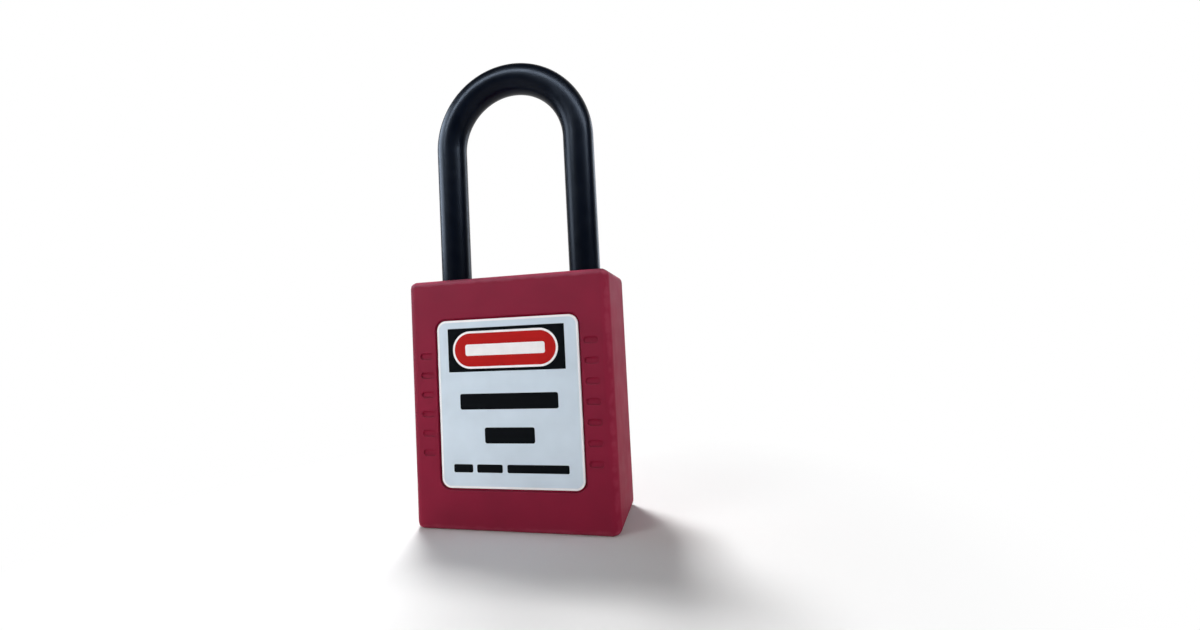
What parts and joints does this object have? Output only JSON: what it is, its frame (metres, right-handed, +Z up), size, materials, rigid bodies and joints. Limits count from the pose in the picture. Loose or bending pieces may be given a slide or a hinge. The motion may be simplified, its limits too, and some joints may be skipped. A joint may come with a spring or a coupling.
{
  "type": "lockout padlock",
  "caption": "Safety lockout padlock: flat plastic casing with a label plate, tall round nylon shackle, and a pin cylinder that works a ball lock.",
  "frame": {"origin": "middle of the casing's underside", "axes": "+Z up towards the shackle, the label faces -Y, +X towards the short leg"},
  "size_m": [0.039, 0.0186, 0.0905],
  "materials": {
    "casing_plastic": "fine moulded satin, crimson",
    "label_plate": "printed polyester, semi-gloss",
    "shackle_nylon": "moulded nylon, satin",
    "nickel_plate": "nickel-plated brass, satin",
    "brass": "turned brass",
    "steel": "turned, zinc-plated",
    "spring_steel": "bright wire",
    "bearing_steel": "ground and polished"
  },
  "bodies": {
    "lock_body": {"casing": "casing_plastic", "label": "label_plate", "cylinder_housing": "nickel_plate", "chamber_cover": "brass", "housing_screw": "steel", "stop_pin": "steel", "shackle_spring": "spring_steel", "pin_spring_1": "spring_steel", "pin_spring_2": "spring_steel", "pin_spring_3": "spring_steel", "pin_spring_4": "spring_steel", "pin_spring_5": "spring_steel", "pin_spring_6": "spring_steel"},
    "plug": {"plug": "brass", "plug_clip": "spring_steel", "locking_cam": "steel"},
    "shackle": {"shackle": "shackle_nylon"},
    "ball_left": {"ball_left": "bearing_steel"},
    "ball_right": {"ball_right": "bearing_steel"},
    "key_pin_1": {"key_pin_1": "brass"},
    "driver_pin_1": {"driver_pin_1": "nickel_plate"},
    "key_pin_2": {"key_pin_2": "brass"},
    "driver_pin_2": {"driver_pin_2": "nickel_plate"},
    "key_pin_3": {"key_pin_3": "brass"},
    "driver_pin_3": {"driver_pin_3": "nickel_plate"},
    "key_pin_4": {"key_pin_4": "brass"},
    "driver_pin_4": {"driver_pin_4": "nickel_plate"},
    "key_pin_5": {"key_pin_5": "brass"},
    "driver_pin_5": {"driver_pin_5": "nickel_plate"},
    "key_pin_6": {"key_pin_6": "brass"},
    "driver_pin_6": {"driver_pin_6": "nickel_plate"}
  },
  "joints": [
    {"name": "plug_turn", "type": "hinge", "parent": "lock_body", "child": "plug", "pos_m": [0, 0, 0], "axis": [0, 0, 1], "range_deg": [0, 90]},
    {"name": "shackle_lift", "type": "slide", "parent": "lock_body", "child": "shackle", "axis": [0, 0, 1], "range_m": [0, 0.0115], "deforming": ["shackle_spring"]},
    {"name": "ball_left_in", "type": "slide", "parent": "lock_body", "child": "ball_left", "axis": [1, 0, 0], "range_m": [0, 0.0028]},
    {"name": "ball_right_in", "type": "slide", "parent": "lock_body", "child": "ball_right", "axis": [-1, 0, 0], "range_m": [0, 0.0028]},
    {"name": "key_pin_1_drop", "type": "slide", "parent": "plug", "child": "key_pin_1", "axis": [-1, 0, 0], "range_m": [0, 0.00135]},
    {"name": "key_pin_2_drop", "type": "slide", "parent": "plug", "child": "key_pin_2", "axis": [-1, 0, 0], "range_m": [0, 0.00055]},
    {"name": "key_pin_3_drop", "type": "slide", "parent": "plug", "child": "key_pin_3", "axis": [-1, 0, 0], "range_m": [0, 0.00175]},
    {"name": "key_pin_4_drop", "type": "slide", "parent": "plug", "child": "key_pin_4", "axis": [-1, 0, 0], "range_m": [0, 0.00095]},
    {"name": "key_pin_5_drop", "type": "slide", "parent": "plug", "child": "key_pin_5", "axis": [-1, 0, 0], "range_m": [0, 0.00215]},
    {"name": "key_pin_6_drop", "type": "slide", "parent": "plug", "child": "key_pin_6", "axis": [-1, 0, 0], "range_m": [0, 0.00135]},
    {"name": "driver_pin_1_lift", "type": "slide", "parent": "lock_body", "child": "driver_pin_1", "axis": [1, 0, 0], "range_m": [0, 0.0018], "stiffness_N_per_m": 60, "springref_m": -0.002, "deforming": ["pin_spring_1"]},
    {"name": "driver_pin_2_lift", "type": "slide", "parent": "lock_body", "child": "driver_pin_2", "axis": [1, 0, 0], "range_m": [0, 0.0018], "stiffness_N_per_m": 60, "springref_m": -0.002, "deforming": ["pin_spring_2"]},
    {"name": "driver_pin_3_lift", "type": "slide", "parent": "lock_body", "child": "driver_pin_3", "axis": [1, 0, 0], "range_m": [0, 0.0018], "stiffness_N_per_m": 60, "springref_m": -0.002, "deforming": ["pin_spring_3"]},
    {"name": "driver_pin_4_lift", "type": "slide", "parent": "lock_body", "child": "driver_pin_4", "axis": [1, 0, 0], "range_m": [0, 0.0018], "stiffness_N_per_m": 60, "springref_m": -0.002, "deforming": ["pin_spring_4"]},
    {"name": "driver_pin_5_lift", "type": "slide", "parent": "lock_body", "child": "driver_pin_5", "axis": [1, 0, 0], "range_m": [0, 0.0018], "stiffness_N_per_m": 60, "springref_m": -0.002, "deforming": ["pin_spring_5"]},
    {"name": "driver_pin_6_lift", "type": "slide", "parent": "lock_body", "child": "driver_pin_6", "axis": [1, 0, 0], "range_m": [0, 0.0018], "stiffness_N_per_m": 60, "springref_m": -0.002, "deforming": ["pin_spring_6"]}
  ],
  "couplings": [
    {"joint": "shackle_lift", "follows": "plug_turn", "m_per_rad": 0.0073211},
    {"joint": "ball_left_in", "follows": "plug_turn", "m_per_rad": 0.0017825},
    {"joint": "ball_right_in", "follows": "plug_turn", "m_per_rad": 0.0017825}
  ]
}
